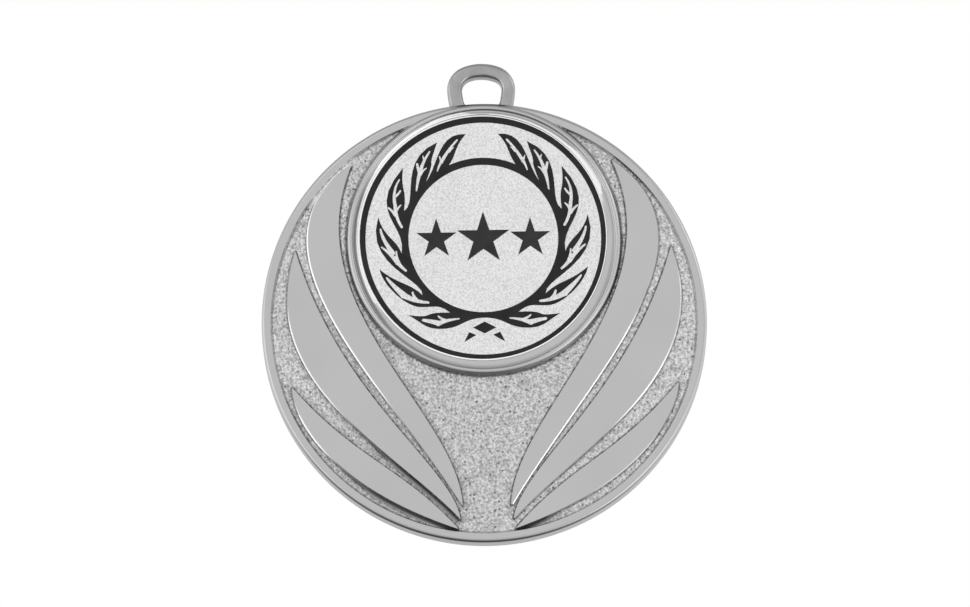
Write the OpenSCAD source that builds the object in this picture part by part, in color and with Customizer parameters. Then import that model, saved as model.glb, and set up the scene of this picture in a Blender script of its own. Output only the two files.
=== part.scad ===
// Relief medal with a ribbon loop and a round printed emblem.
// The medal hangs upright: +Z is up, the front faces -Y, and the origin is the middle of the
// loop's hole. Every module draws in the face frame (X right, Y up, Z out of the front, centred
// on the disc), and hang() stands it up.

/* [Disc] */
// Diameter of the disc
disc_d = 45; // [44:0.5:50]
// Thickness of the disc over its two rims
disc_t = 3; // [2.6:0.1:4]
// Radius of the rounding between each rim and the side wall
edge_r = 0.4; // [0.3:0.05:0.6]
// Width of the front rim
rim_w = 0.95; // [0.95:0.05:1.4]
// Depth of the grained front field under the rim
field_drop = 0.5; // [0.3:0.05:0.7]
// Height of the smooth petals over the field
petal_h = 0.4; // [0.2:0.05:0.45]
// Width of the flat land on the back rim
back_land_w = 2; // [1:0.1:3]
// Depth of the back field under the back rim
back_drop = 0.4; // [0.2:0.05:0.6]

/* [Collar and pocket] */
// Width of the raised collar round the emblem
collar_w = 1.15; // [1.1:0.05:1.4]
// Height of the collar's outer bead over the field
bead_h = 0.75; // [0.6:0.05:0.9]
// Radius of the collar's outer bead
bead_r = 0.28; // [0.2:0.01:0.3]
// Height of the collar's inner band over the field
band_h = 0.65; // [0.5:0.05:0.8]
// Width of the collar's inner band
band_w = 0.3; // [0.2:0.01:0.4]
// Height of the groove between the band and the bead, over the field
groove_h = 0.45; // [0.3:0.05:0.5]
// Distance from the collar to the disc's edge at the top
collar_gap = 0.18; // [0.1:0.02:1]
// How far the collar sits to the right of the disc's middle line
collar_x = 0.08; // [-0.2:0.02:0.2]
// How far the pocket sits to the right of the collar's centre
pocket_x = -0.14; // [-0.2:0.02:0.2]
// How far the pocket sits over the collar's centre
pocket_y = 0.15; // [-0.2:0.01:0.2]
// Depth of the pocket floor under the field
pocket_sink = 0.1; // [0:0.05:0.3]
// Clearance round the emblem in its pocket
pocket_gap = 0.04; // [0.04:0.01:0.15]

/* [Emblem] */
// Diameter of the emblem disc
emblem_d = 25.25; // [24.9:0.05:25.3]
// Thickness of the emblem disc
emblem_t = 0.5; // [0.3:0.05:0.6]
// Width of the sloping edge round the emblem's face
emblem_bevel = 0.05; // [0.03:0.01:0.06]
// Thickness of the double-sided adhesive under the emblem
adhesive_t = 0.15; // [0.1:0.05:0.2]
// Thickness of the printed ink
ink_t = 0.04; // [0.02:0.01:0.1]

/* [Print] */
// Outer radius of the printed border line
border_r = 12.46; // [12.2:0.01:12.5]
// Width of the printed border line
border_w = 0.54; // [0.4:0.01:0.7]
// How far the border line's outer edge sits to the right of the emblem's centre
border_x = 0.05; // [-0.05:0.01:0.05]
// How far the border line's outer edge sits over the emblem's centre
border_y = 0.02; // [-0.05:0.01:0.05]
// How far the print inside the border sits to the right of the emblem's centre
print_x = 0.09; // [-0.1:0.01:0.1]
// How far the print inside the border sits over the emblem's centre
print_y = -0.08; // [-0.1:0.01:0.1]
// Inner radius of the wreath's ring
ring_r = 7.5; // [7.3:0.05:7.6]
// Width of the wreath's ring at the top
ring_w = 0.72; // [0.65:0.01:0.8]
// Outer radius of the middle star
star_r = 2.75; // [2:0.05:3]
// Outer radius of the two side stars
side_star_r = 2.1; // [1.5:0.05:2.2]
// Distance between the stars' centres
star_step = 4.7; // [4.4:0.05:4.9]

/* [Loop] */
// Outer width of the ribbon loop
loop_w = 6.9; // [6.5:0.1:7.5]
// Height of the loop over the disc's edge
loop_h = 4.22; // [4:0.02:5]
// Thickness of the loop's band, seen from the front
loop_band = 1.38; // [1.2:0.02:1.5]
// Depth of the loop from front to back
loop_depth = 2.3; // [2:0.1:2.5]
// Radius of the rounding along the band's four edges
loop_edge_r = 0.45; // [0.3:0.05:0.5]
// Radius of the loop's shoulders, at the middle of the band
shoulder_r = 1.56; // [1.41:0.03:1.77]

/* [Hidden] */
$fn = 96;

disc_r = disc_d / 2;
front_z = disc_t / 2;
field_z = front_z - field_drop;
rim_r = disc_r - rim_w;
back_field_r = disc_r - edge_r - back_land_w;

emblem_r = emblem_d / 2;
pocket_r = emblem_r + pocket_gap;
pocket_z = field_z - pocket_sink;
collar_r = pocket_r + collar_w;
collar_y = disc_r - collar_gap - collar_r;
emblem_at = [collar_x + pocket_x, collar_y + pocket_y];
emblem_z = pocket_z + adhesive_t;
print_z = emblem_z + emblem_t;

hole_h = loop_h - loop_band;
hole_y = disc_r + hole_h / 2;

bury = 0.4;      // how far a raised feature reaches down into the disc under it
steps = 20;      // straight pieces in each curve of a petal
leaf_steps = 10; // straight pieces in each curve of a leaf
cap_steps = 6;   // straight pieces in each rounded end of a vein

// Petals of the left half for a 45 mm disc. Each has its lower tip, the two controls of its
// inner edge, its upper tip, and the two controls of its outer edge on the way back.
petal_base_d = 45;
petals = [
  [[-2.45, -18.7], [-2.9, -9.05], [-19.5, 2.05], [-13.15, 16.5], [-25.1, 7.9], [-10.65, -5.2]],
  [[-2.7, -20.1], [-3.4, -14.7], [-14.7, -7.6], [-19, 7.55], [-23.4, -5.8], [-9.2, -12.9]],
  [[-2.9, -21.1], [-8.35, -14.8], [-13.3, -13.8], [-19.5, -6.4], [-19.5, -8.5], [-16.9, -16.2]]
];

// Left branch of the wreath on a 25 mm emblem, from the ring at the top to the bottom: each
// leaf is one curve out to its tip and one back. A curve is a start, two controls and an end.
wreath_base_d = 25;
branch = [
  [[-3.35, 7.5], [-2.5, 8.7], [-2.8, 9.4], [-1.6, 10.65]],
  [[-1.6, 10.65], [-4.4, 10.9], [-4.35, 7.7], [-5.67, 5.8]],
  [[-5.67, 5.8], [-4.45, 9.1], [-5.75, 6.4], [-4.5, 9.85]],
  [[-4.5, 9.85], [-8.5, 8.2], [-6.4, 3.8], [-7.9, 2.9]],
  [[-7.9, 2.9], [-7.55, 5.55], [-8.25, 4.55], [-7.95, 7.3]],
  [[-7.95, 7.3], [-11.9, 2.75], [-7.6, 1.65], [-8.2, -1.4]],
  [[-8.2, -1.4], [-8.8, 0.2], [-9.85, 0.1], [-10.5, 2.3]],
  [[-10.5, 2.3], [-12.05, -2.55], [-6.05, -4.05], [-6.15, -5.68]],
  [[-6.15, -5.68], [-7.6, -4.3], [-8.55, -4.6], [-10.44, -3]],
  [[-10.44, -3], [-10.1, -4.75], [-7.6, -7.05], [-6.2, -6.88]],
  [[-6.2, -6.88], [-4.85, -6.9], [-4.55, -6.6], [-3.4, -7.5]],
  [[-3.4, -7.5], [-6.65, -7.35], [-4.6, -8.1], [-7.6, -7.7]],
  [[-7.6, -7.7], [-6.15, -8.5], [-6, -9.1], [-4.4, -9.13]],
  [[-4.4, -9.13], [-2.3, -9.15], [-2.15, -8.07], [0, -8.04]]
];

// Unprinted veins of those leaves: start, bend and end of the middle line, and both end widths.
veins = [
  // Lowest leaf
  [[-6.12, -8.22], [-5.4, -8.32], [-4.6, -8.55], 0.3, 0.55],
  [[-4.65, -8.6], [-3.8, -8.22], [-2.55, -8.12], 0.5, 0.15],
  [[-4.62, -7.82], [-4.45, -8.05], [-3.95, -8.25], 0.16, 0.3],
  // Second leaf
  [[-9.72, -3.88], [-9.2, -4.6], [-8.1, -5.6], 0.2, 0.62],
  [[-8.15, -5.58], [-7, -6.35], [-5.6, -6.43], 0.62, 0.24],
  [[-7.16, -5.38], [-7.1, -5.75], [-6.8, -6.1], 0.2, 0.34],
  [[-8.25, -5.86], [-7.9, -5.95], [-7.4, -5.95], 0.16, 0.3],
  // Third leaf
  [[-10.28, 1.05], [-10.15, 0.1], [-9.1, -1.35], 0.2, 0.5],
  [[-10.18, -0.75], [-9.2, -1.5], [-8.6, -2.35], 0.18, 0.5],
  [[-8.85, -1.9], [-8.5, -2.6], [-7.8, -3.15], 0.5, 0.24],
  [[-8.73, -1.2], [-8.75, -1.7], [-8.5, -2.3], 0.16, 0.3],
  // Fourth leaf
  [[-8.33, 6.1], [-9.1, 5], [-8.78, 3.4], 0.16, 0.36],
  [[-8.78, 3.4], [-8.75, 2.2], [-8.15, 1.28], 0.36, 0.26],
  [[-8.25, 4.97], [-8.45, 4.6], [-8.8, 4.35], 0.18, 0.26],
  [[-8.22, 3.5], [-8.5, 3.3], [-8.75, 2.8], 0.14, 0.3],
  [[-9.46, 3.24], [-9.1, 3], [-8.8, 2.5], 0.2, 0.3],
  // Fifth leaf
  [[-5.25, 8.92], [-6, 7.9], [-6.28, 6.7], 0.16, 0.42],
  [[-6.28, 6.7], [-6.5, 6], [-6.63, 4.97], 0.42, 0.16],
  [[-6.52, 7.66], [-6.45, 7.2], [-6.3, 6.7], 0.24, 0.3],
  [[-5.93, 8.48], [-5.9, 8.2], [-5.75, 8], 0.12, 0.2],
  [[-5.6, 7.24], [-5.9, 7.1], [-6.2, 6.6], 0.12, 0.26],
  // Top leaf
  [[-2.5, 10.05], [-3.3, 9.2], [-3.95, 8.1], 0.2, 0.34],
  [[-3.95, 8.1], [-4.3, 7.6], [-4.5, 6.95], 0.34, 0.14],
  [[-4.27, 8.42], [-4.2, 8.1], [-4.05, 7.8], 0.12, 0.26],
  [[-2.86, 9.3], [-3.1, 9.15], [-3.3, 8.9], 0.1, 0.26]
];

// The bow under the wreath: half of its knot, and its left tail.
knot_w = 1.15;
knot_h = 0.6;
knot_y = -9.05;
tail = [[-1.55, -9.5], [-0.85, -9.8], [-2.05, -10.5]];

// Point t of the way along a cubic curve c of four points
function cubic(c, t) =
  pow(1 - t, 3) * c[0] + 3 * pow(1 - t, 2) * t * c[1] + 3 * (1 - t) * t * t * c[2] + pow(t, 3) * c[3];

// Points along a cubic curve, without its last one
function curve(c, n) = [for (i = [0:n - 1]) cubic(c, i / n)];

// Points along a circular arc round the origin, without the last one
function arc(r, from, to, n) =
  [for (i = [0:n - 1]) let (a = from + (to - from) * i / n) r * [cos(a), sin(a)]];

// Outline of one petal
function petal_outline(p) =
  let (k = disc_d / petal_base_d, inner = [p[0], p[1], p[2], p[3]], outer = [p[3], p[4], p[5], p[0]])
  k * concat(curve(inner, steps), curve(outer, steps));

// Outline of the left half of the wreath: the ring's outside, the leaves, and the ring's inside
function branch_outline() =
  let (notch = branch[0][0], notch_angle = atan2(notch[1], notch[0]))
  concat(
    arc(ring_r + ring_w, 90, notch_angle, 6),
    [for (c = branch) each curve(c, leaf_steps)],
    [branch[len(branch) - 1][3]],
    arc(ring_r, 270, 90, 48),
    [[0, ring_r]]);

// Outline of one vein: down one side of its middle line, round the end, back, and round the start
function vein_outline(v) =
  let (
    line = [v[0], v[0] + 2 / 3 * (v[1] - v[0]), v[2] + 2 / 3 * (v[1] - v[2]), v[2]],
    away = v[1] - v[0], back = v[2] - v[1],
    a0 = atan2(away[1], away[0]), a1 = atan2(back[1], back[0]),
    turn = a1 - a0, bend = turn > 180 ? turn - 360 : turn < -180 ? turn + 360 : turn,
    n = 6)
  concat(
    [for (i = [0:n - 1]) let (t = i / n, a = a0 + bend * t, w = v[3] + (v[4] - v[3]) * t)
      cubic(line, t) + w / 2 * [sin(a), -cos(a)]],
    [for (i = [0:cap_steps]) let (a = a0 + bend - 90 + 180 * i / cap_steps)
      v[2] + v[4] / 2 * [cos(a), sin(a)]],
    [for (i = [1:n - 1]) let (t = 1 - i / n, a = a0 + bend * t, w = v[3] + (v[4] - v[3]) * t)
      cubic(line, t) - w / 2 * [sin(a), -cos(a)]],
    [for (i = [0:cap_steps - 1]) let (a = a0 + 90 + 180 * i / cap_steps)
      v[0] + v[3] / 2 * [cos(a), sin(a)]]);

// Outline of a five-pointed star
function star_outline(r) =
  let (waist = r * sin(18) / sin(54))
  [for (i = [0:9]) let (a = 90 + 36 * i) (i % 2 == 0 ? r : waist) * [cos(a), sin(a)]];

// Stands the face frame up, with the loop's hole on the origin
module hang() {
  translate([0, 0, -hole_y]) rotate([90, 0, 0]) children();
}

// Draws the left half and its mirror image
module both_halves() {
  children();
  mirror([1, 0, 0]) children();
}

// The disc's outer shape: flat faces and a side wall with both edges rounded
module blank() {
  wall_h = disc_t - 2 * edge_r;
  rotate_extrude() {
    translate([0, -front_z]) square([disc_r - edge_r, disc_t]);
    translate([0, -wall_h / 2]) square([disc_r, wall_h]);
    for (y = [-1, 1]) translate([disc_r - edge_r, y * wall_h / 2]) circle(edge_r);
  }
}

// The collar: an inner band, a groove and an outer bead, down to the field
module collar() {
  bead_at = collar_r - bead_r;
  translate([collar_x, collar_y, field_z]) rotate_extrude() {
    translate([pocket_r - bury, -bury]) square([band_w + bury, bury + band_h]);
    translate([pocket_r - bury, -bury]) square([bead_at - pocket_r + bury, bury + groove_h]);
    translate([bead_at - bead_r, -bury]) square([2 * bead_r, bury + bead_h - bead_r]);
    translate([bead_at, bead_h - bead_r]) circle(bead_r);
  }
}

module medal_disc() {
  deep = disc_t; // a cut this deep always leaves through the face
  color([0.74, 0.74, 0.75]) hang() difference() {
    union() {
      difference() {
        blank();
        translate([0, 0, field_z]) cylinder(r = rim_r, h = deep);
        translate([0, 0, back_drop - front_z - deep]) cylinder(r = back_field_r, h = deep);
      }
      collar();
      translate([0, 0, field_z - bury]) linear_extrude(bury + petal_h)
        both_halves() for (p = petals) polygon(petal_outline(p));
    }
    translate([emblem_at[0], emblem_at[1], pocket_z]) cylinder(r = pocket_r, h = deep);
  }
}

// Cross-section of the loop's band, centred on x
module loop_section(x) {
  flat_w = loop_band - 2 * loop_edge_r;
  flat_d = loop_depth - 2 * loop_edge_r;
  translate([x, 0]) {
    square([loop_band, flat_d], center = true);
    square([flat_w, loop_depth], center = true);
    for (i = [-1, 1], j = [-1, 1]) translate([i * flat_w / 2, j * flat_d / 2]) circle(loop_edge_r);
  }
}

// The loop: two legs, two shoulders and a flatter crown, all tangent, with feet cut to the disc.
// The crown's centre, a shoulder's centre and the middle line form a 3-4-5 triangle.
module ribbon_loop() {
  half_w = (loop_w - loop_band) / 2;
  unit = (half_w - shoulder_r) / 3;
  rise = shoulder_r + unit;
  spring_y = disc_r + loop_h - loop_band / 2 - rise;
  sweep = atan2(4, 3);
  root = 1.2; // how far the legs run on before the disc cuts them off
  color([0.68, 0.68, 0.69]) hang() difference() {
    union() {
      both_halves() {
        translate([half_w, spring_y, 0]) rotate([90, 0, 0])
          linear_extrude(spring_y - disc_r + root) loop_section(0);
        translate([3 * unit, spring_y, 0]) rotate_extrude(angle = sweep) loop_section(shoulder_r);
      }
      translate([0, spring_y - 4 * unit, 0])
        rotate_extrude(angle = 180 - 2 * sweep, start = sweep) loop_section(shoulder_r + 5 * unit);
    }
    blank();
  }
}

module emblem_adhesive() {
  color([0.9, 0.9, 0.86]) hang()
    translate([emblem_at[0], emblem_at[1], pocket_z])
      cylinder(r = emblem_r - emblem_bevel, h = adhesive_t);
}

module emblem_disc() {
  wall_h = emblem_t - emblem_bevel;
  color([0.9, 0.9, 0.9]) hang() translate([emblem_at[0], emblem_at[1], emblem_z]) {
    cylinder(r = emblem_r, h = wall_h);
    translate([0, 0, wall_h]) cylinder(r1 = emblem_r, r2 = emblem_r - emblem_bevel, h = emblem_bevel);
  }
}

// Places a flat shape on the emblem's face as a layer of ink
module ink(shade) {
  color(shade) hang() translate([emblem_at[0], emblem_at[1], print_z]) linear_extrude(ink_t)
    children();
}

// Moves the print inside the border to its place, sized to the emblem
module printed() {
  translate([print_x, print_y]) scale(emblem_d / wreath_base_d) children();
}

module border_ink() {
  ink([0.17, 0.17, 0.17]) difference() {
    translate([border_x, border_y]) circle(border_r);
    translate([print_x, print_y]) circle(border_r - border_w);
  }
}

module wreath_ink() {
  ink([0.17, 0.17, 0.17]) printed() both_halves() difference() {
    polygon(branch_outline());
    for (v = veins) polygon(vein_outline(v));
  }
}

module bow_ink() {
  ink([0.17, 0.17, 0.17]) printed() {
    translate([0, knot_y]) polygon([[-knot_w, 0], [0, -knot_h], [knot_w, 0], [0, knot_h]]);
    both_halves() polygon(tail);
  }
}

module star_ink() {
  ink([0.24, 0.24, 0.24]) printed() {
    polygon(star_outline(star_r));
    both_halves() translate([-star_step, 0]) polygon(star_outline(side_star_r));
  }
}

medal_disc();
ribbon_loop();
emblem_adhesive();
emblem_disc();
border_ink();
wreath_ink();
bow_ink();
star_ink();
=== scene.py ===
"""Looks for a 45 mm relief medal with a printed emblem and a ribbon loop.

Shapes are worked out in millimetres in the face frame: x to the right, y up from the disc's
centre, z out of the front. place() turns them into the row frame, in metres.
"""

import math

import bmesh
import bpy
import numpy as np
from mathutils import Matrix, Vector, kdtree, noise
from mathutils.geometry import delaunay_2d_cdt


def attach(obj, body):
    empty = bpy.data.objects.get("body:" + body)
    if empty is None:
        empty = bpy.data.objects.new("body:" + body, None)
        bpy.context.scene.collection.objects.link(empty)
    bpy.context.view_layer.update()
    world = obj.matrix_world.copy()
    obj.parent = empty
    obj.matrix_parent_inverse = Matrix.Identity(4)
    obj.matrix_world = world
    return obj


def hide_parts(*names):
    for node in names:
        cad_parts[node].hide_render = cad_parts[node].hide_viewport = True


MM = 0.001
HOLE_Y = 23.92            # the loop's hole, where the row frame has its origin

DISC_R = 22.5
FRONT_Z = 1.5
EDGE_R = 0.4
RIM_IN_R = 21.42          # where the rim's inner slope meets the field
FIELD_Z = 1.0
PETAL_Z = 1.4

COLLAR_AT = (0.08, 8.51)
COLLAR_FOOT_R = 13.98     # where the collar's outer slope meets the field
COLLAR_OUT_R = 14.02

EMBLEM_AT = (-0.06, 8.66)
EMBLEM_R = 12.62
EMBLEM_T = 0.5
EMBLEM_Z = 1.05
CUT_W = 0.16              # width of the emblem's bright cut edge
POCKET_WALL_R = 12.633    # half way through the pocket's wall
POCKET_LIP_R = 12.665
POCKET_Z = 0.9

DISC_STEPS = 480
COLLAR_STEPS = 400
EMBLEM_STEPS = 360
OUTLINE_STEP = 0.16
GRAIN_STEP = 0.125
FLAT_STEP = 1.1

# Petals of the left half: lower tip, two controls of the inner edge, upper tip, and two controls
# of the outer edge on the way back.
PETALS = (
    ((-2.45, -18.7), (-2.9, -9.05), (-19.5, 2.05), (-13.15, 16.5), (-25.1, 7.9), (-10.65, -5.2)),
    ((-2.7, -20.1), (-3.4, -14.7), (-14.7, -7.6), (-19, 7.55), (-23.4, -5.8), (-9.2, -12.9)),
    ((-2.9, -21.1), (-8.35, -14.8), (-13.3, -13.8), (-19.5, -6.4), (-19.5, -8.5), (-16.9, -16.2)),
)


def place(points):
    """Points of the face frame in mm, as points of the row frame in metres."""
    p = np.asarray(points, float)
    return np.stack([p[:, 0], -p[:, 2], p[:, 1] - HOLE_Y], 1) * MM


def mesh_object(name, points, faces, attributes=None):
    """A smooth mesh object from points in the face frame, with float attributes on its points."""
    mesh = bpy.data.meshes.new(name)
    mesh.from_pydata(place(points).tolist(), [], faces)
    mesh.validate()
    for key, values in (attributes or {}).items():
        layer = mesh.attributes.new(key, "FLOAT", "POINT")
        layer.data.foreach_set("value", np.asarray(values, np.float32))
    mesh.shade_smooth()
    piece = bpy.data.objects.new(name, mesh)
    bpy.context.scene.collection.objects.link(piece)
    return piece


def circle(radius, steps, centre=(0.0, 0.0)):
    """Points at even angles round a centre."""
    a = np.arange(steps) * 2 * math.pi / steps
    return np.stack([centre[0] + radius * np.cos(a), centre[1] + radius * np.sin(a)], 1)


def polar(points, centre=(0.0, 0.0)):
    """Each point's distance from a centre and its clock angle round it, from 0 to 360."""
    x, y = (points - centre).T
    return np.hypot(x, y), np.degrees(np.arctan2(y, x)) % 360


def smooth(low, high, value):
    """A smooth step from 0 at low to 1 at high, which may be the lower of the two."""
    t = np.clip((value - low) / (high - low), 0, 1)
    return t * t * (3 - 2 * t)


def speckle(points, size, seed):
    """Smooth noise from -1 to 1 whose bumps are about this size, at each point of a plane."""
    return np.array([noise.noise(Vector((x / size, y / size, seed))) for x, y in points])


# ---------------------------------------------------------------- petals

def cubic(a, b, c, d, steps):
    """Points along the cubic Bezier curve with these four control points."""
    t = np.linspace(0, 1, steps + 1)[:, None]
    a, b, c, d = (np.array(p, float) for p in (a, b, c, d))
    return (1 - t) ** 3 * a + 3 * (1 - t) ** 2 * t * b + 3 * (1 - t) * t * t * c + t**3 * d


def even(line, step):
    """The same line with points at even distances, both ends kept."""
    length = np.r_[0, np.cumsum(np.linalg.norm(np.diff(line, axis=0), axis=1))]
    count = max(2, int(round(length[-1] / step)))
    at = np.linspace(0, length[-1], count + 1)
    return np.stack([np.interp(at, length, line[:, 0]), np.interp(at, length, line[:, 1])], 1)


# Where along each petal's outer edge, from its top to its tip, the slope turns into a cove,
# which is painted dark as shade.
LEFT_HOLLOWS = (None, (0.55, 0.8), (0.35, 0.65))
RIGHT_HOLLOWS = (None, None, (0.76, 0.88))
# Where the bright bevel along each outer edge starts and ends, and how bright it is: the
# brightness is a painted highlight.
LEFT_SHINES = ((0.02, 0.65, 0.95), (0.2, 0.5, 0.8), (0.1, 0.32, 0.9))
RIGHT_SHINES = ((0.45, 1.1, 1.0), (0.1, 0.5, 0.9), (0.25, 0.6, 0.3))
INNER_SLOPE_W = 0.1
OUTER_SLOPE_W = 0.11
SHINE_W = 0.1             # added to the outer slope where it shines
COVE_W = 0.4              # and where it is hollow


class Petal:
    """A petal's outline, with its slope's width, hollow and shine at every segment."""

    def __init__(self, p, mirrored, hollow, shine):
        inner = even(cubic(p[0], p[1], p[2], p[3], 200), OUTLINE_STEP)
        outer = even(cubic(p[3], p[4], p[5], p[0], 200), OUTLINE_STEP)
        self.line = np.vstack([inner[:-1], outer[:-1]])
        n_in, n_out = len(inner) - 1, len(outer) - 1
        t_in, t_out = np.arange(n_in) / n_in, np.arange(n_out) / n_out
        cove = smooth(*hollow, t_out) if hollow else 0 * t_out
        start, end, most = shine
        fade_in = smooth(start - 0.1, start + 0.05, t_out)
        fade_out = smooth(end + 0.15, end - 0.05, t_out)
        glint = most * fade_in * fade_out
        outer_w = OUTER_SLOPE_W + SHINE_W * glint + COVE_W * cove
        self.width = np.r_[INNER_SLOPE_W + 0 * t_in, outer_w]
        self.glint = np.r_[0 * t_in, glint]
        self.outer = np.r_[0 * t_in, 1 + 0 * t_out]
        self.cove = np.r_[0 * t_in, cove]
        if mirrored:
            self.line = self.line * [-1, 1]
        away = np.roll(self.line, -1, 0) - self.line
        self.away = away
        turn = -1 if self.area() > 0 else 1
        normal = turn * np.stack([-away[:, 1], away[:, 0]], 1)
        normal /= np.linalg.norm(normal, axis=1)[:, None]
        corner = normal + np.roll(normal, 1, 0)
        self.normal = corner / np.maximum(np.linalg.norm(corner, axis=1)[:, None], 1e-6)

    def area(self):
        """The outline's signed area, positive if it runs anticlockwise."""
        x, y = self.line.T
        return 0.5 * np.sum(x * np.roll(y, -1) - y * np.roll(x, -1))

    def distance(self, points):
        """Distance out from the outline, negative inside, and the nearest segment's index."""
        gap, near = np.empty(len(points)), np.empty(len(points), int)
        squared = (self.away**2).sum(1)
        for i in range(0, len(points), 4000):
            p = points[i:i + 4000, None, :] - self.line[None]
            t = np.clip((p * self.away).sum(2) / squared, 0, 1)
            d = np.linalg.norm(p - t[..., None] * self.away, axis=2)
            near[i:i + 4000] = d.argmin(1)
            gap[i:i + 4000] = d.min(1)
        return np.where(self.inside(points), -gap, gap), near

    def inside(self, points):
        """Whether each point is inside, by counting the segments to its right."""
        x0, y0 = self.line.T
        x1, y1 = np.roll(self.line, -1, 0).T
        hit = np.zeros(len(points), bool)
        for a, b, c, d in zip(x0, y0, x1, y1):
            if b == d:
                continue
            crosses = (b > points[:, 1]) != (d > points[:, 1])
            hit ^= crosses & (points[:, 0] < a + (points[:, 1] - b) * (c - a) / (d - b))
        return hit

    def fall(self, gap, near):
        """How far down its slope a point is, from 0 at the petal's top to 1 at the field."""
        t = gap / self.width[near]
        plain = np.clip(t, 0, 1)
        bright = np.interp(t, (0, 0.75, 1), (0, 0.2, 1))
        hollow = np.interp(t, (0, 0.2, 0.4, 0.7, 1), (0, 0.4, 0.68, 0.9, 1))
        outer, cove = self.outer[near], self.cove[near]
        return (1 - outer) * plain + outer * ((1 - cove) * bright + cove * hollow)

    def offset(self, share):
        """The outline moved out by this share of its slope's width."""
        return self.line + self.normal * (self.width * share)[:, None]


def petals():
    """All six petals: the left three, then their mirror images with edges of their own."""
    sides = ((False, LEFT_HOLLOWS, LEFT_SHINES), (True, RIGHT_HOLLOWS, RIGHT_SHINES))
    return [Petal(p, mirrored, hollow, shine)
            for mirrored, hollows, shines in sides
            for p, hollow, shine in zip(PETALS, hollows, shines)]


# ---------------------------------------------------------------- the disc's front

# Heights of the rim, by distance from the disc's centre.
RIM = ((RIM_IN_R, FIELD_Z), (21.48, 1.2), (21.53, 1.36), (21.59, 1.46), (21.68, 1.5), (30, 1.5))
# Heights of the collar, by distance from its centre: a flat, a groove, a bead and a slope.
COLLAR = (
    (12.84, 1.6), (12.93, 1.6), (12.99, 1.587), (13.06, 1.555), (13.13, 1.535), (13.19, 1.54),
    (13.25, 1.575), (13.31, 1.65), (13.36, 1.71), (13.41, 1.74), (13.47, 1.75), (13.54, 1.744),
    (13.61, 1.722), (13.69, 1.672), (13.77, 1.595), (13.84, 1.495), (13.91, 1.36),
    (COLLAR_FOOT_R, 1.16), (COLLAR_OUT_R, 0.7),
)
POCKET_EDGE = ((12.63, POCKET_Z), (12.636, 1.58), (POCKET_LIP_R, 1.6))
FAR_BELOW, FAR_ABOVE = -9.0, 9.0
GRAIN_H = 0.07            # height of the field's bumps


def stepped(r, steps, beyond=None):
    """Height at each radius along a row of (radius, height) steps, and beyond its last one."""
    return np.interp(r, [p[0] for p in steps], [p[1] for p in steps], right=beyond)


def rim_height(r):
    over = np.clip(r - (DISC_R - EDGE_R), 0, EDGE_R)
    rounded = FRONT_Z - EDGE_R + np.sqrt(EDGE_R**2 - over**2)
    return np.where(r > RIM_IN_R, np.minimum(stepped(r, RIM), rounded), FAR_BELOW)


def collar_height(from_collar, from_emblem):
    """Height of the collar, cut away where the emblem's pocket is."""
    outer = stepped(from_collar, COLLAR, FAR_BELOW)
    return np.minimum(outer, stepped(from_emblem, POCKET_EDGE, FAR_ABOVE))


def arc(clock, start, end, fade):
    """One between two clock angles, falling to zero over the fade on each side."""
    return smooth(start - fade, start, clock) * smooth(end + fade, end, clock)


def line_glow(distance, width):
    """One on a line, falling off smoothly to both sides."""
    return np.exp(-((distance / width) ** 2))


def petal_slopes(points, shapes):
    """The petals' height at each point, how far it is from the nearest slope, and the slopes'
    painted shade and painted highlights."""
    height = np.full(len(points), FAR_BELOW)
    beyond = np.full(len(points), FAR_ABOVE)
    dark, bright = np.zeros(len(points)), np.zeros(len(points))
    for petal in shapes:
        low, high = petal.line.min(0) - 1, petal.line.max(0) + 1
        pick = np.flatnonzero(((points > low) & (points < high)).all(1))
        gap, near = petal.distance(points[pick])
        width = petal.width[near]
        slope = PETAL_Z - (PETAL_Z - FIELD_Z) * petal.fall(gap, near)
        slope[gap > width * 1.001] = FAR_BELOW
        height[pick] = np.maximum(height[pick], slope)
        beyond[pick] = np.minimum(beyond[pick], gap - width)

        cove = petal.cove[near]
        # Painted shade: a dark line along the foot of each slope, fainter along the outer edges.
        foot = line_glow(gap - width - 0.02, 0.08) * (0.55 - 0.4 * petal.outer[near])
        # Painted shade in the hollow coves, darkest near the petal and fading outwards.
        deep, soft = 0.97 * smooth(0.6, 0.3, gap), 0.5 * smooth(1.2, 0.4, gap)
        shade = cove * smooth(-0.01, 0.03, gap) * np.maximum(deep, soft)
        dark[pick] = np.maximum(dark[pick], np.maximum(foot * (gap > 0), shade))
        # Painted highlight along the shining stretches of each outer bevel.
        bevel = petal.glint[near] * (1 - cove) * (gap > 0.005) * (gap < width * 0.8)
        bright[pick] = np.maximum(bright[pick], 0.8 * bevel)
    return height, beyond, dark, bright


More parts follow.
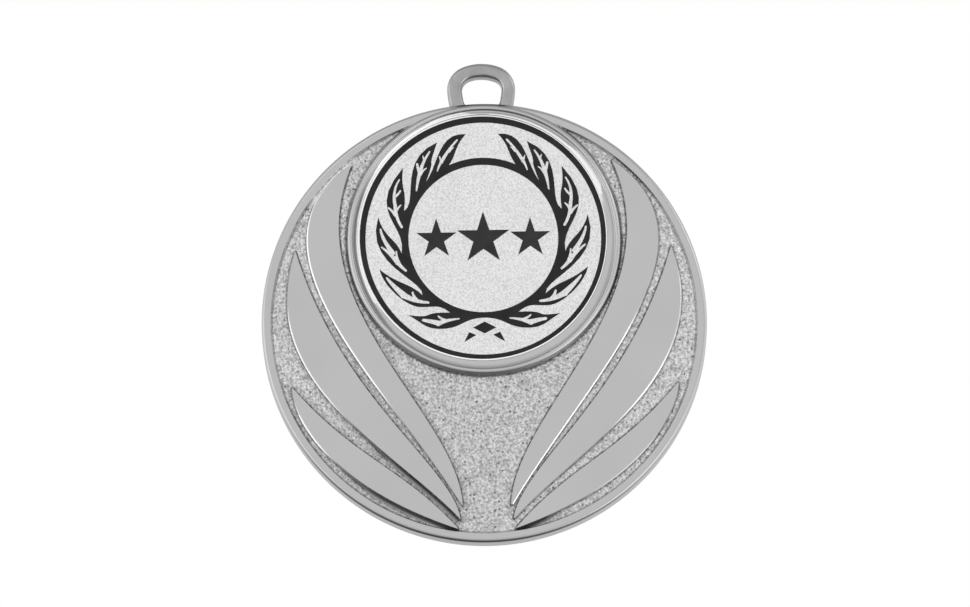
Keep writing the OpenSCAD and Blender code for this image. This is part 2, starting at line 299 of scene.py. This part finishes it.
def collar_marks(points, from_collar, clock, from_emblem):
    """Painted shade in the collar's groove and at its foot, and painted highlights round the
    emblem.
    """
    left = arc(clock, 165, 212, 20)
    # Arcs that carry painted highlights; the painted shade is thinned there.
    highlight_arcs = np.maximum(0.45 * arc(clock, 100, 140, 10), arc(clock, 26, 42, 8))

    # Painted shade in the groove, wider and darker on the left.
    groove = line_glow(from_collar - 13.15 + 0.07 * left, 0.09 + 0.09 * left)
    groove = groove * (0.38 + 0.5 * left)
    # Painted shade along the foot, ragged, fainter at the upper left.
    past_foot = from_collar - COLLAR_FOOT_R
    ragged = 0.1 * (1 + 1.2 * speckle(points, 0.3, 21.0))
    foot = line_glow(np.maximum(past_foot, 0), ragged) * (from_collar > 13.7)
    foot = foot * (0.55 - 0.45 * arc(clock, 120, 150, 20))
    # Ragged painted shadow just beyond the foot, on the lower half.
    ragged_shade = smooth(0.0, 0.3, speckle(points, 0.24, 23.0)) * smooth(14.6, 14.1, from_collar)
    ragged_shade = ragged_shade * (past_foot > 0) * arc(clock, 195, 345, 15)
    dark = np.maximum(np.maximum(groove, foot), 0.7 * ragged_shade)
    # The painted shade fades under the highlight arcs and across the top.
    dark = dark * (1 - 0.8 * highlight_arcs) * (1 - 0.9 * arc(clock, 55, 118, 12))
    in_groove = (from_collar < 13.3 + 0.05 * left) * (from_collar > 13.0 - 0.1 * left)

    # Painted highlight on the collar's inner band, from the right over the top to the left.
    reach = 12.8 + 0.06 * arc(clock, 100, 208, 6) + 0.12 * arc(clock, 100, 168, 8) + 0.3 * highlight_arcs
    reach = reach + 0.1 * np.maximum(arc(clock, 50, 84, 5), arc(clock, 98, 112, 5))
    bright = (from_emblem > EMBLEM_R - 0.02) * (from_collar < reach) * arc(clock, 22, 208, 9)
    return dark, bright, in_groove


def painted_streak_marks(points, r, beyond):
    """A painted highlight, ragged, in the narrow channel between the rim and the upper left petal.
    """
    streak_highlight = arc(polar(points)[1], 130, 142, 4) * (r > 20.95) * (r < 21.56) * (beyond > -0.16)
    return streak_highlight * np.clip(0.8 + 0.6 * speckle(points, 0.3, 11.0), 0, 1)


def painted_shadow_marks(points, beyond):
    """Painted shadow, mottled, beside the petals of the lower left."""
    lower_left = smooth(3, -3, points[:, 0]) * smooth(6, -4, points[:, 1])
    lower_left_shadow = smooth(0.75, 0.15, beyond) * (beyond > 0) * lower_left
    return lower_left_shadow * (0.26 + 0.5 * speckle(points, 0.22, 5.0))


def front_height(points, shapes):
    """Height of the front at each point, and how grained, how much painted shade and highlight."""
    r, _ = polar(points)
    from_collar, clock = polar(points, COLLAR_AT)
    from_emblem, _ = polar(points, EMBLEM_AT)
    rim, collar = rim_height(r), collar_height(from_collar, from_emblem)
    petal, beyond, petal_dark, petal_bright = petal_slopes(points, shapes)
    collar_dark, collar_bright, in_groove = collar_marks(points, from_collar, clock, from_emblem)

    grain = smooth(-0.02, 0.06, beyond) * smooth(0, 0.1, from_collar - COLLAR_FOOT_R)
    grain = grain * smooth(-0.02, 0.06, RIM_IN_R - r)
    coarse = 1 + 0.9 * smooth(1.3, 0.4, beyond)
    bumps = 0.55 * speckle(points, 0.3, 3.0) + 0.45 * speckle(points, 0.17, 8.0)
    field = FIELD_Z + grain * coarse * GRAIN_H * bumps
    raised = np.maximum(np.maximum(petal, rim), collar)
    height = np.where(from_emblem > POCKET_WALL_R, np.maximum(field, raised), POCKET_Z)
    grain = grain * (raised < FIELD_Z + 0.02)

    streak_highlight = painted_streak_marks(points, r, beyond)
    # Painted shade from the collar and petals, thinned under the painted streak, with painted
    # shadow.
    painted_shade = np.maximum(collar_dark, petal_dark) * (1 - 0.9 * streak_highlight)
    painted_shade = np.maximum(painted_shade, painted_shadow_marks(points, beyond))
    painted_shade = painted_shade * np.maximum(raised < PETAL_Z - 0.02, in_groove)
    # Painted shade: a dark band on the disc's edge under the loop, where the edge reflects dark.
    beside = abs(points[:, 0])
    shade_under_loop = smooth(22.22, 22.36, r) * (points[:, 1] > 20) * smooth(2.6, 2.3, beside)
    painted_shade = np.clip(np.maximum(painted_shade, shade_under_loop), 0, 1)

    # Painted glints: bright specks on the grain towards both sides.
    grain_glints = smooth(0.22, 0.45, speckle(points, 0.26, 14.0))
    grain_glints = grain_glints * smooth(13.5, 15.5, abs(points[:, 0] + 1))
    # Painted highlight: the collar's, the petals', the streak and the glints on the grain.
    painted_highlight = np.maximum(np.maximum(collar_bright, petal_bright), streak_highlight)
    painted_highlight = np.maximum(painted_highlight, 0.85 * grain_glints * grain)
    return height, grain, painted_shade, painted_highlight


EDGE_STEPS = 9            # rings round the front edge's rounding
RIM_FLAT_R = 21.9         # how far a petal's slope may run out under the rim
SLOPE_SHARES = (0.35, 0.75, 1.0)
SUPPORT_DEPTHS = (0.12, 0.3)  # points just inside a petal, which keep its top flat to the eye
ROW_SHARE = 0.866         # rows of even triangles lie this share of their side apart
JITTER = 0.16


def front_points(shapes):
    """Points and edges that the front is triangulated from, the outer ring first."""
    points, edges, count = [], [], 0

    def add(ring):
        nonlocal count
        n = len(ring)
        points.append(ring)
        edges.extend((count + i, count + (i + 1) % n) for i in range(n))
        count += n

    for k in range(EDGE_STEPS, -1, -1):
        turn = k * math.pi / 2 / EDGE_STEPS
        add(circle(DISC_R - EDGE_R + EDGE_R * math.sin(turn), DISC_STEPS))
    for r, _ in RIM[:-2]:
        add(circle(r, DISC_STEPS))
    for r, _ in COLLAR:
        ring = circle(r, COLLAR_STEPS, COLLAR_AT)
        add(ring[np.hypot(*ring.T) < DISC_R - 0.01])
    for r, _ in POCKET_EDGE:
        add(circle(r, COLLAR_STEPS, EMBLEM_AT))
    for petal in shapes:
        add(petal.line)
        for share in SLOPE_SHARES:
            ring = petal.offset(share)
            add(ring[np.hypot(*ring.T) < RIM_FLAT_R])
        for depth in SUPPORT_DEPTHS:
            support = petal.line[::2] - petal.normal[::2] * depth
            support = support[petal.distance(support)[0] < -0.9 * depth]
            points.append(support)
            count += len(support)
    fixed = np.vstack(points)
    return np.vstack([fixed] + loose_points(fixed, shapes)), edges


def loose_points(fixed, shapes):
    """Two grids of jittered points: a fine one for the field and a coarse one for the petals."""
    tree = kdtree.KDTree(len(fixed))
    for i, (x, y) in enumerate(fixed):
        tree.insert((x, y, 0), i)
    tree.balance()
    rng = np.random.default_rng(7)
    loose = []
    for step, keep_grain in ((GRAIN_STEP, True), (FLAT_STEP, False)):
        row_step = step * ROW_SHARE
        grid = np.array([
            (-DISC_R + step * (i + 0.5 * (j % 2)), -DISC_R + row_step * j)
            for j in range(int(2 * DISC_R / row_step)) for i in range(int(2 * DISC_R / step))
        ])
        grid += rng.uniform(-JITTER, JITTER, grid.shape) * step
        r = np.hypot(*grid.T)
        grid = grid[(r < RIM_IN_R - 0.02) & (polar(grid, COLLAR_AT)[0] > COLLAR_OUT_R)]
        in_petal = np.zeros(len(grid), bool)
        for petal in shapes:
            in_petal |= petal.inside(grid)
        grid = grid[~in_petal if keep_grain else in_petal]
        near = 0.45 * min(step, 0.3)
        loose.append(np.array([g for g in grid if tree.find((g[0], g[1], 0))[2] > near]))
    return loose


def disc_front(shapes):
    """The front as flat points and faces, and which points make its outer ring."""
    flat, edges = front_points(shapes)
    found = delaunay_2d_cdt([Vector(p) for p in flat.tolist()], edges, [], 0, 1e-5)
    points = np.array([tuple(p) for p in found[0]])
    faces = [tuple(f) for f in found[2]]
    ring = {}
    for made, given in enumerate(found[3]):
        for g in given:
            if g < DISC_STEPS:
                ring[g] = made
    return points, faces, [ring[i] for i in range(DISC_STEPS)]


# The side wall, the rounded back edge, the flat back rim and the back field, as (radius, height).
BACK = (
    (DISC_R, 0.6), (DISC_R, -0.6), (DISC_R, -1.1), (22.47, -1.25), (22.383, -1.383),
    (22.25, -1.47), (22.1, -1.5), (21.95, -1.5), (20.35, -1.5), (20.2, -1.5), (20.12, -1.46),
    (20.08, -1.38), (20.04, -1.16), (19.96, -1.11), (19.8, -1.1), (15, -1.1), (8, -1.1), (3, -1.1),
)
BACK_STEP_R = 20.0
DISC_CREASE = 27          # degrees from which an edge of the disc is sharp


def medal_disc():
    """The disc: a relief front, a rounded side wall and a plain recessed back, in one skin."""
    shapes = petals()
    flat, faces, ring = disc_front(shapes)
    height, grain, painted_shade, painted_highlight = front_height(flat, shapes)
    height[ring] = FRONT_Z - EDGE_R
    points = [np.column_stack([flat, height])]
    count = len(flat)
    previous = ring
    for r, z in BACK:
        loop = circle(r, DISC_STEPS)
        points.append(np.column_stack([loop, np.full(DISC_STEPS, z)]))
        current = list(range(count, count + DISC_STEPS))
        count += DISC_STEPS
        for i in range(DISC_STEPS):
            j = (i + 1) % DISC_STEPS
            faces.append((previous[i], current[i], current[j], previous[j]))
        previous = current
    points.append(np.array([[0, 0, BACK[-1][1]]]))
    faces.extend((previous[i], count, previous[(i + 1) % DISC_STEPS]) for i in range(DISC_STEPS))
    points = np.vstack(points)
    extra = len(points) - len(flat)
    r = np.hypot(points[:, 0], points[:, 1])
    none = np.zeros(extra)
    back_grain = smooth(BACK_STEP_R - 0.1, BACK_STEP_R - 0.3, r) * (points[:, 2] < 0) * 0.35
    # Painted shade along the step round the back's recess.
    back_step_shade = line_glow(r - BACK_STEP_R, 0.1) * (points[:, 2] < -1)
    # Layers for the material: grain, painted shade and painted highlight.
    attributes = {
        "grain": np.r_[grain, none] + back_grain,
        "painted_shade": np.r_[painted_shade, none] + back_step_shade,
        "painted_highlight": np.r_[painted_highlight, none],
    }
    piece = mesh_object("medal_disc_relief", points, faces, attributes)
    sharpen(piece, DISC_CREASE, "grain")
    return piece


def sharpen(piece, degrees, soft_layer=None):
    """Marks edges sharp by their angle, but none where the named layer is above a half."""
    piece.data.set_sharp_from_angle(angle=math.radians(degrees))
    if soft_layer is None:
        return
    soft = np.zeros(len(piece.data.vertices), np.float32)
    piece.data.attributes[soft_layer].data.foreach_get("value", soft)
    ends = np.zeros(len(piece.data.edges) * 2, np.int32)
    piece.data.edges.foreach_get("vertices", ends)
    ends = ends.reshape(-1, 2)
    layer = piece.data.attributes["sharp_edge"]
    marks = np.zeros(len(ends), bool)
    layer.data.foreach_get("value", marks)
    marks &= ~((soft[ends[:, 0]] > 0.5) & (soft[ends[:, 1]] > 0.5))
    layer.data.foreach_set("value", marks)


# ---------------------------------------------------------------- the loop

LOOP_BAND = 1.38
LOOP_DEPTH = 2.3
LOOP_EDGE_R = 0.4
LOOP_SHIFT = 0.03         # the loop stands this far to the right
LOOP_FOOT_Y = 21.75
LOOP_SPRING_Y = 24.07     # where the legs turn into the shoulders
LOOP_HALF_W = 2.76
SHOULDER_R = 1.76
CROWN_R = 4.36
CROWN_DROP = 2.4          # the crown's centre lies this far below the spring line
FILLET_R = 0.16           # the braze round the loop's feet
LEG_SWELL = 0.12          # the left leg is this much thicker towards the hole
CAST_WAVE = 0.02


def loop_path():
    """Middle line of the loop, from the left foot over the crown to the right foot."""
    sweep = math.atan2(12, 5)
    right = []
    for y in np.linspace(LOOP_FOOT_Y, LOOP_SPRING_Y, 15)[:-1]:
        lean = 0.27 * ((LOOP_SPRING_Y - y) / (LOOP_SPRING_Y - 22.3)) ** 1.4
        right.append((LOOP_HALF_W - min(lean, 0.3), y))
    for a in np.linspace(0, sweep, 9)[:-1]:
        x = LOOP_HALF_W - SHOULDER_R + SHOULDER_R * math.cos(a)
        right.append((x, LOOP_SPRING_Y + SHOULDER_R * math.sin(a)))
    for a in np.linspace(sweep, math.pi / 2, 8):
        y = LOOP_SPRING_Y - CROWN_DROP + CROWN_R * math.sin(a)
        right.append((CROWN_R * math.cos(a), y))
    right = np.array(right)
    return np.vstack([right * [-1, 1], right[-2::-1]])


def loop_section():
    """Rounded cross-section: (across the band, front to back)."""
    flat_w, flat_d = LOOP_BAND / 2 - LOOP_EDGE_R, LOOP_DEPTH / 2 - LOOP_EDGE_R
    out = []
    for quarter, (sx, sz) in enumerate(((1, 1), (-1, 1), (-1, -1), (1, -1))):
        for k in range(7):
            a = math.pi / 2 * (quarter + k / 6)
            across, through = LOOP_EDGE_R * math.cos(a), LOOP_EDGE_R * math.sin(a)
            out.append((sx * flat_w + across, sz * flat_d + through))
    return np.array(out)


def ribbon_loop():
    """The open loop: a swept band that flares at its feet, with the waves of a casting."""
    path, section = loop_path(), loop_section()
    away = np.gradient(path, axis=0)
    away /= np.linalg.norm(away, axis=1)[:, None]
    side = np.stack([away[:, 1], -away[:, 0]], 1)
    points = []
    for (x, y), (nx, ny) in zip(path, side):
        clear = math.hypot(x, y) - DISC_R - 0.02
        x += LOOP_SHIFT
        into = max(0, min(FILLET_R, FILLET_R - clear))
        flare = FILLET_R - math.sqrt(max(0, FILLET_R**2 - into**2))
        for u, w in section:
            swell_u = 1 + flare / (LOOP_BAND / 2)
            swell_w = 1 + 0.1 * flare / LOOP_DEPTH
            thick = LEG_SWELL * smooth(-1.2, -2.2, x) * (nx * u > 0.2)
            points.append((x + nx * u * swell_u + thick, y + ny * u * swell_u, w * swell_w))
    points = np.array(points)
    rough = np.array([noise.noise(Vector(p) * 1.1) for p in points])
    centre = np.repeat(path + [LOOP_SHIFT, 0], len(section), 0)
    out = np.column_stack([points[:, :2] - centre, points[:, 2]])
    out /= np.linalg.norm(out, axis=1)[:, None]
    points = points - out * (CAST_WAVE * (0.5 + 0.5 * rough))[:, None]
    n, faces = len(section), []
    for i in range(len(path) - 1):
        for k in range(n):
            a, b = i * n + k, i * n + (k + 1) % n
            faces.append((a, b, b + n, a + n))
    faces.append(tuple(range(n))[::-1])
    faces.append(tuple(range((len(path) - 1) * n, len(path) * n)))
    piece = mesh_object("ribbon_loop_cast", points, faces)
    fix_normals(piece)
    return piece


def fix_normals(piece):
    """Turns every face outwards."""
    made = bmesh.new()
    made.from_mesh(piece.data)
    bmesh.ops.recalc_face_normals(made, faces=made.faces)
    made.to_mesh(piece.data)
    made.free()


# ---------------------------------------------------------------- the emblem

CUT_EDGE_SLOT = 1


def emblem_disc():
    """The emblem's blank: a flat disc with a small bevel and a bright cut edge."""
    top = EMBLEM_Z + EMBLEM_T
    profile = (
        (EMBLEM_R - 0.15, EMBLEM_Z), (EMBLEM_R, EMBLEM_Z + 0.08), (EMBLEM_R, top - 0.03),
        (EMBLEM_R - 0.01, top - 0.01), (EMBLEM_R - 0.03, top), (EMBLEM_R - CUT_W, top),
        (EMBLEM_R - 0.25, top), (8, top), (3, top),
    )
    steps, points, faces = EMBLEM_STEPS, [], []
    for r, z in profile:
        ring = circle(r, steps, EMBLEM_AT)
        points.append(np.column_stack([ring, np.full(steps, z)]))
    for k in range(len(profile) - 1):
        for i in range(steps):
            j = (i + 1) % steps
            faces.append((k * steps + i, k * steps + j, (k + 1) * steps + j, (k + 1) * steps + i))
    middle = len(profile) * steps
    points.append(np.array([EMBLEM_AT + (top,), EMBLEM_AT + (EMBLEM_Z,)]))
    last = (len(profile) - 1) * steps
    for i in range(steps):
        j = (i + 1) % steps
        faces.append((last + i, last + j, middle))
        faces.append((j, i, middle + 1))
    piece = mesh_object("emblem_disc_blasted", np.vstack(points), faces)
    fix_normals(piece)
    sharpen(piece, 25)
    for face in piece.data.polygons:
        x, _, z = face.center / MM
        if math.hypot(x - EMBLEM_AT[0], z + HOLE_Y - EMBLEM_AT[1]) > EMBLEM_R - CUT_W:
            face.material_index = CUT_EDGE_SLOT
    return piece


# ---------------------------------------------------------------- materials

NICKEL_TINT = (1.0, 0.984, 0.998)
WHITE = (1.0, 1.0, 1.0)
MIX_A, MIX_B, MIX_OUT = 6, 7, 2   # a colour mix node's sockets


class Nodes:
    """A material, with short ways to add and join its nodes."""

    def __init__(self, name):
        self.material = bpy.data.materials.new(name)
        self.material.use_nodes = True
        self.tree = self.material.node_tree
        self.tree.nodes.clear()
        self.shader = self.add("ShaderNodeBsdfPrincipled")
        out = self.add("ShaderNodeOutputMaterial")
        self.link(self.shader, "BSDF", out, "Surface")

    def add(self, kind, **values):
        node = self.tree.nodes.new(kind)
        for key, value in values.items():
            setattr(node, key, value)
        return node

    def link(self, a, out, b, into):
        self.tree.links.new(a.outputs[out], b.inputs[into])

    def noise(self, size_mm, detail=2.0, rough=0.5):
        """Noise in the object's own coordinates whose blotches are about this big."""
        where = self.add("ShaderNodeTexCoord")
        node = self.add("ShaderNodeTexNoise")
        node.inputs["Scale"].default_value = 0.55 / (size_mm * MM)
        node.inputs["Detail"].default_value = detail
        node.inputs["Roughness"].default_value = rough
        self.link(where, "Object", node, "Vector")
        return node

    def span(self, source, out, low, high, to_low, to_high):
        """An output's range from low to high, mapped to another range and kept inside it."""
        node = self.add("ShaderNodeMapRange")
        node.inputs["From Min"].default_value = low
        node.inputs["From Max"].default_value = high
        node.inputs["To Min"].default_value = to_low
        node.inputs["To Max"].default_value = to_high
        self.link(source, out, node, "Value")
        return node

    def attribute(self, name):
        return self.add("ShaderNodeAttribute", attribute_name=name)

    def math(self, operation, a, a_out, b, b_out):
        node = self.add("ShaderNodeMath", operation=operation)
        self.link(a, a_out, node, 0)
        self.link(b, b_out, node, 1)
        return node

    def blend(self, source, out, first, second):
        """A mix of two colours, each a plain colour or another mix."""
        node = self.add("ShaderNodeMix", data_type="RGBA")
        self.link(source, out, node, 0)
        for socket, colour in ((MIX_A, first), (MIX_B, second)):
            if isinstance(colour, tuple):
                node.inputs[socket].default_value = colour
            else:
                self.link(colour, MIX_OUT, node, socket)
        return node

    def grey(self, source, out, dark, light, tint=WHITE):
        """A shade between two grey levels, with the same tint on both."""
        ends = [tuple(level * t for t in tint) + (1,) for level in (dark, light)]
        return self.blend(source, out, *ends)

    def coat(self, shade):
        self.link(shade, MIX_OUT, self.shader, "Base Color")

    def bump(self, source, out, depth_mm, before=None):
        """Bumps this deep, on top of those before."""
        node = self.add("ShaderNodeBump")
        node.inputs["Strength"].default_value = 1
        node.inputs["Distance"].default_value = depth_mm * MM
        self.link(source, out, node, "Height")
        if before is not None:
            self.link(before, "Normal", node, "Normal")
        return node


PIT_CELL = 0.42           # mm between the field's dark pits
# Near white for painted highlights.
HIGHLIGHT_WHITE = (1, 0.99, 0.995, 1)
# Dark colour for the grain's pits and for painted shade.
PIT_AND_SHADE_DARK = (0.12, 0.118, 0.116, 1)


def satin_nickel():
    """Satin nickel plate: even where it is smooth, pitted where it is grained, painted near white
    as highlight where marked, and painted dark as shade in crevices."""
    n = Nodes("satin_nickel_plate")
    n.shader.inputs["Metallic"].default_value = 1
    grain, painted_shade = n.attribute("grain"), n.attribute("painted_shade")

    dots = n.add("ShaderNodeTexVoronoi", feature="F1")
    dots.inputs["Scale"].default_value = 1 / (PIT_CELL * MM)
    n.link(n.add("ShaderNodeTexCoord"), "Object", dots, "Vector")
    dot = n.span(dots, "Distance", 0.16, 0.38, 1, 0)
    chosen = n.add("ShaderNodeSeparateColor")
    n.link(dots, "Color", chosen, 0)
    chance = n.span(chosen, 0, 0.5, 0.92, 0, 0.97)
    pit = n.math("MULTIPLY", n.math("MULTIPLY", dot, 0, chance, 0), 0, grain, "Fac")
    # The pits belong to the blasted grain; the other input is painted shade.
    pits_and_shade = n.math("MAXIMUM", pit, 0, painted_shade, "Fac")

    cloud = n.span(n.noise(5, 3), "Fac", 0.3, 0.7, 0, 1)
    smooth_shade = n.grey(cloud, 0, 0.548, 0.576, NICKEL_TINT)
    salt = n.span(n.noise(0.12, 1, 0.6), "Fac", 0.3, 0.7, 0, 1)
    grain_shade = n.grey(salt, 0, 0.36, 0.86, NICKEL_TINT)
    plate = n.blend(grain, "Fac", smooth_shade, grain_shade)
    # Painted highlight: near white wherever the highlight layer is set.
    plate = n.blend(n.attribute("painted_highlight"), "Fac", plate, HIGHLIGHT_WHITE)
    n.coat(n.blend(pits_and_shade, 0, plate, PIT_AND_SHADE_DARK))
    n.link(n.span(grain, "Fac", 0, 1, 0.27, 0.32), 0, n.shader, "Roughness")

    rough = n.math("MULTIPLY", n.noise(0.16, 2, 0.6), "Fac", grain, "Fac")
    skin = n.bump(n.noise(0.3, 2), "Fac", 0.0025, n.bump(rough, 0, 0.09))
    n.link(skin, "Normal", n.shader, "Normal")
    return n.material


def loop_nickel():
    """The loop's nickel plate: darker, with the slight waves of a casting."""
    n = Nodes("loop_nickel_plate")
    n.shader.inputs["Metallic"].default_value = 1
    cloud = n.noise(0.9, 3)
    shade = n.grey(n.span(cloud, "Fac", 0.35, 0.65, 0, 1), 0, 0.395, 0.465, NICKEL_TINT)
    n.coat(shade)
    n.link(n.span(cloud, "Fac", 0.3, 0.7, 0.34, 0.26), 0, n.shader, "Roughness")
    n.link(n.bump(n.noise(0.35, 2), "Fac", 0.02), "Normal", n.shader, "Normal")
    return n.material


def blasted_aluminium():
    """Pale anodised aluminium with a fine blasted grain and dark specks."""
    n = Nodes("blasted_aluminium")
    n.shader.inputs["Metallic"].default_value = 1
    specks = n.noise(0.08, 1, 0.5)
    shade = n.grey(n.span(specks, "Fac", 0.3, 0.62, 0, 1), 0, 0.73, 1.0)
    n.coat(shade)
    n.link(n.span(n.noise(2.5, 2), "Fac", 0.3, 0.7, 0.42, 0.5), 0, n.shader, "Roughness")
    n.link(n.bump(n.noise(0.14, 2, 0.6), "Fac", 0.008), "Normal", n.shader, "Normal")
    return n.material


def cut_edge():
    """The emblem's edge, bright where the blasted disc was cut."""
    n = Nodes("emblem_cut_edge")
    shade = n.grey(n.span(n.noise(0.6, 2), "Fac", 0.3, 0.7, 0, 1), 0, 0.95, 1.0)
    n.coat(shade)
    n.shader.inputs["Roughness"].default_value = 0.15
    n.shader.inputs["Metallic"].default_value = 1
    return n.material


def printed_ink(name, dark, light):
    """Screen ink: nearly black, satin, with a faintly uneven film."""
    n = Nodes(name)
    cloud = n.noise(0.7, 3)
    shade = n.grey(n.span(cloud, "Fac", 0.3, 0.7, 0, 1), 0, dark, light)
    n.coat(shade)
    n.shader.inputs["Specular IOR Level"].default_value = 0.3
    n.link(n.span(cloud, "Fac", 0.3, 0.7, 0.5, 0.4), 0, n.shader, "Roughness")
    n.link(n.bump(n.noise(0.16, 2), "Fac", 0.003), "Normal", n.shader, "Normal")
    return n.material


def adhesive_film():
    """Milky double-sided adhesive."""
    n = Nodes("adhesive_film")
    shade = n.grey(n.span(n.noise(1.2, 2), "Fac", 0.3, 0.7, 0, 1), 0, 0.72, 0.8, (1, 0.99, 0.94))
    n.coat(shade)
    n.link(n.span(n.noise(0.8, 2), "Fac", 0.3, 0.7, 0.35, 0.5), 0, n.shader, "Roughness")
    return n.material


def paint(piece, *materials):
    piece.data.materials.clear()
    for material in materials:
        piece.data.materials.append(material)


# ---------------------------------------------------------------- studio

def toward(ahead, clock):
    """The direction so many degrees away from straight ahead, at a clock angle from the right."""
    a, c = math.radians(ahead), math.radians(clock)
    return Vector((math.sin(a) * math.cos(c), -math.cos(a), math.sin(a) * math.sin(c)))


STUDIO_LEVEL = 0.8
# Soft patches over that level, each on top of those before: degrees from straight ahead, clock
# angle, how far out it ends, how far out it is full, and its level.
PATCHES = (
    (85, 90, 52, 30, 0.55),
    (95, 0, 38, 20, 1.1),
    (95, 180, 38, 20, 1.1),
    (180, 0, 60, 30, 0.75),
    (102, 260, 70, 14, 0.09),
    (56, 178, 24, 12, 1.4),
    (44, 205, 17, 8, 1.5),
    (54, 323, 24, 14, 1.6),
    (62, 32, 14, 8, 1.8),
    (42, 120, 14, 6, 1.5),
    (44, 60, 13, 5, 0.55),
    (8, 90, 24, 15, 0.93),
)


def studio_light():
    """Even soft light from all round, with soft brighter and darker patches, and a white
    backdrop behind the medal."""
    world = bpy.data.worlds.new("studio")
    bpy.context.scene.world = world
    world.use_nodes = True
    tree = world.node_tree
    tree.nodes.clear()
    where = tree.nodes.new("ShaderNodeTexCoord")
    level = None
    for ahead, clock, ends, full, brightness in PATCHES:
        dot = tree.nodes.new("ShaderNodeVectorMath")
        dot.operation = "DOT_PRODUCT"
        dot.inputs[1].default_value = toward(ahead, clock)
        tree.links.new(where.outputs["Generated"], dot.inputs[0])
        mask = tree.nodes.new("ShaderNodeMapRange")
        mask.interpolation_type = "SMOOTHSTEP"
        mask.inputs["From Min"].default_value = math.cos(math.radians(ends))
        mask.inputs["From Max"].default_value = math.cos(math.radians(full))
        tree.links.new(dot.outputs["Value"], mask.inputs["Value"])
        mix = tree.nodes.new("ShaderNodeMix")
        mix.data_type = "FLOAT"
        mix.inputs[2].default_value = STUDIO_LEVEL
        mix.inputs[3].default_value = brightness
        tree.links.new(mask.outputs[0], mix.inputs[0])
        if level is not None:
            tree.links.new(level.outputs[0], mix.inputs[2])
        level = mix
    light = tree.nodes.new("ShaderNodeBackground")
    tree.links.new(level.outputs[0], light.inputs["Color"])
    backdrop = tree.nodes.new("ShaderNodeBackground")
    backdrop.inputs["Color"].default_value = (1, 1, 1, 1)
    path = tree.nodes.new("ShaderNodeLightPath")
    choose = tree.nodes.new("ShaderNodeMixShader")
    out = tree.nodes.new("ShaderNodeOutputWorld")
    tree.links.new(path.outputs["Is Camera Ray"], choose.inputs[0])
    tree.links.new(light.outputs[0], choose.inputs[1])
    tree.links.new(backdrop.outputs[0], choose.inputs[2])
    tree.links.new(choose.outputs[0], out.inputs[0])
    bpy.context.scene.view_settings.view_transform = "Standard"


FLOOR_HALF = 3.0          # metres
FLOOR_Z = -0.35


def floor():
    """A plain pale floor well under the hanging medal."""
    half, z = FLOOR_HALF, FLOOR_Z
    mesh = bpy.data.meshes.new("floor")
    corners = [(-half, -half, z), (half, -half, z), (half, half, z), (-half, half, z)]
    mesh.from_pydata(corners, [], [(0, 1, 2, 3)])
    piece = bpy.data.objects.new("floor", mesh)
    bpy.context.scene.collection.objects.link(piece)
    n = Nodes("floor_paint")
    shade = n.grey(n.span(n.noise(40, 2), "Fac", 0.3, 0.7, 0, 1), 0, 0.9, 0.93)
    n.coat(shade)
    n.shader.inputs["Roughness"].default_value = 0.9
    paint(piece, n.material)
    piece.visible_glossy = False


VIEW_BELOW = 10           # degrees
VIEW_ROLL = 0.85
VIEW_DISTANCE = 1362.5    # mm
VIEW_AT = (0.07, 2.134)   # what it looks at, from the disc's centre, in mm across and up


def camera():
    """A long lens from a little below, rolled slightly, as the medal hangs not quite level."""
    below, roll = math.radians(VIEW_BELOW), math.radians(VIEW_ROLL)
    centre = Vector((0, 0, -HOLE_Y * MM))
    forward = Vector((0, math.cos(below), math.sin(below)))
    level_up = Vector((0, -math.sin(below), math.cos(below)))
    level_right = Vector((1, 0, 0))
    right = level_right * math.cos(roll) - level_up * math.sin(roll)
    up = level_up * math.cos(roll) + level_right * math.sin(roll)
    target = centre + right * VIEW_AT[0] * MM + up * VIEW_AT[1] * MM
    data = bpy.data.cameras.new("camera")
    data.lens = 500
    data.sensor_width = 36
    data.clip_start = 0.01
    data.clip_end = 20
    eye = bpy.data.objects.new("camera", data)
    bpy.context.scene.collection.objects.link(eye)
    turn = Matrix((right, up, -forward)).transposed().to_4x4()
    eye.matrix_world = Matrix.Translation(target - forward * VIEW_DISTANCE * MM) @ turn
    bpy.context.scene.camera = eye


# ---------------------------------------------------------------- the scene

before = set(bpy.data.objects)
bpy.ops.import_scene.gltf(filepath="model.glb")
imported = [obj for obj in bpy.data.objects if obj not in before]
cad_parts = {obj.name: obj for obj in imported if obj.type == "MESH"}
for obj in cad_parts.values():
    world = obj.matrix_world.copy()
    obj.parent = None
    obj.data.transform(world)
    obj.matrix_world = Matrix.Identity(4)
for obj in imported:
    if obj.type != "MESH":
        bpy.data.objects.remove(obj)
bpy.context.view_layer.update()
camera()
studio_light()
floor()

pieces = (
    (medal_disc(), "medal_disc", "satin_nickel", (satin_nickel(),)),
    (ribbon_loop(), "ribbon_loop", "loop_nickel", (loop_nickel(),)),
    (emblem_disc(), "emblem_disc", "blasted_aluminium", (blasted_aluminium(), cut_edge())),
)
for piece, node, slot, materials in pieces:
    marks = [face.material_index for face in piece.data.polygons]
    paint(piece, *materials)
    piece.data.polygons.foreach_set("material_index", marks)
    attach(piece, "root")
    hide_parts(node)

black = printed_ink("printed_black_ink", 0.008, 0.016)
charcoal = printed_ink("printed_grey_ink", 0.02, 0.03)
kept = {
    "border_ink": black, "wreath_ink": black, "bow_ink": black, "star_ink": charcoal,
    "emblem_adhesive": adhesive_film(),
}
for node, material in kept.items():
    paint(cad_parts[node], material)
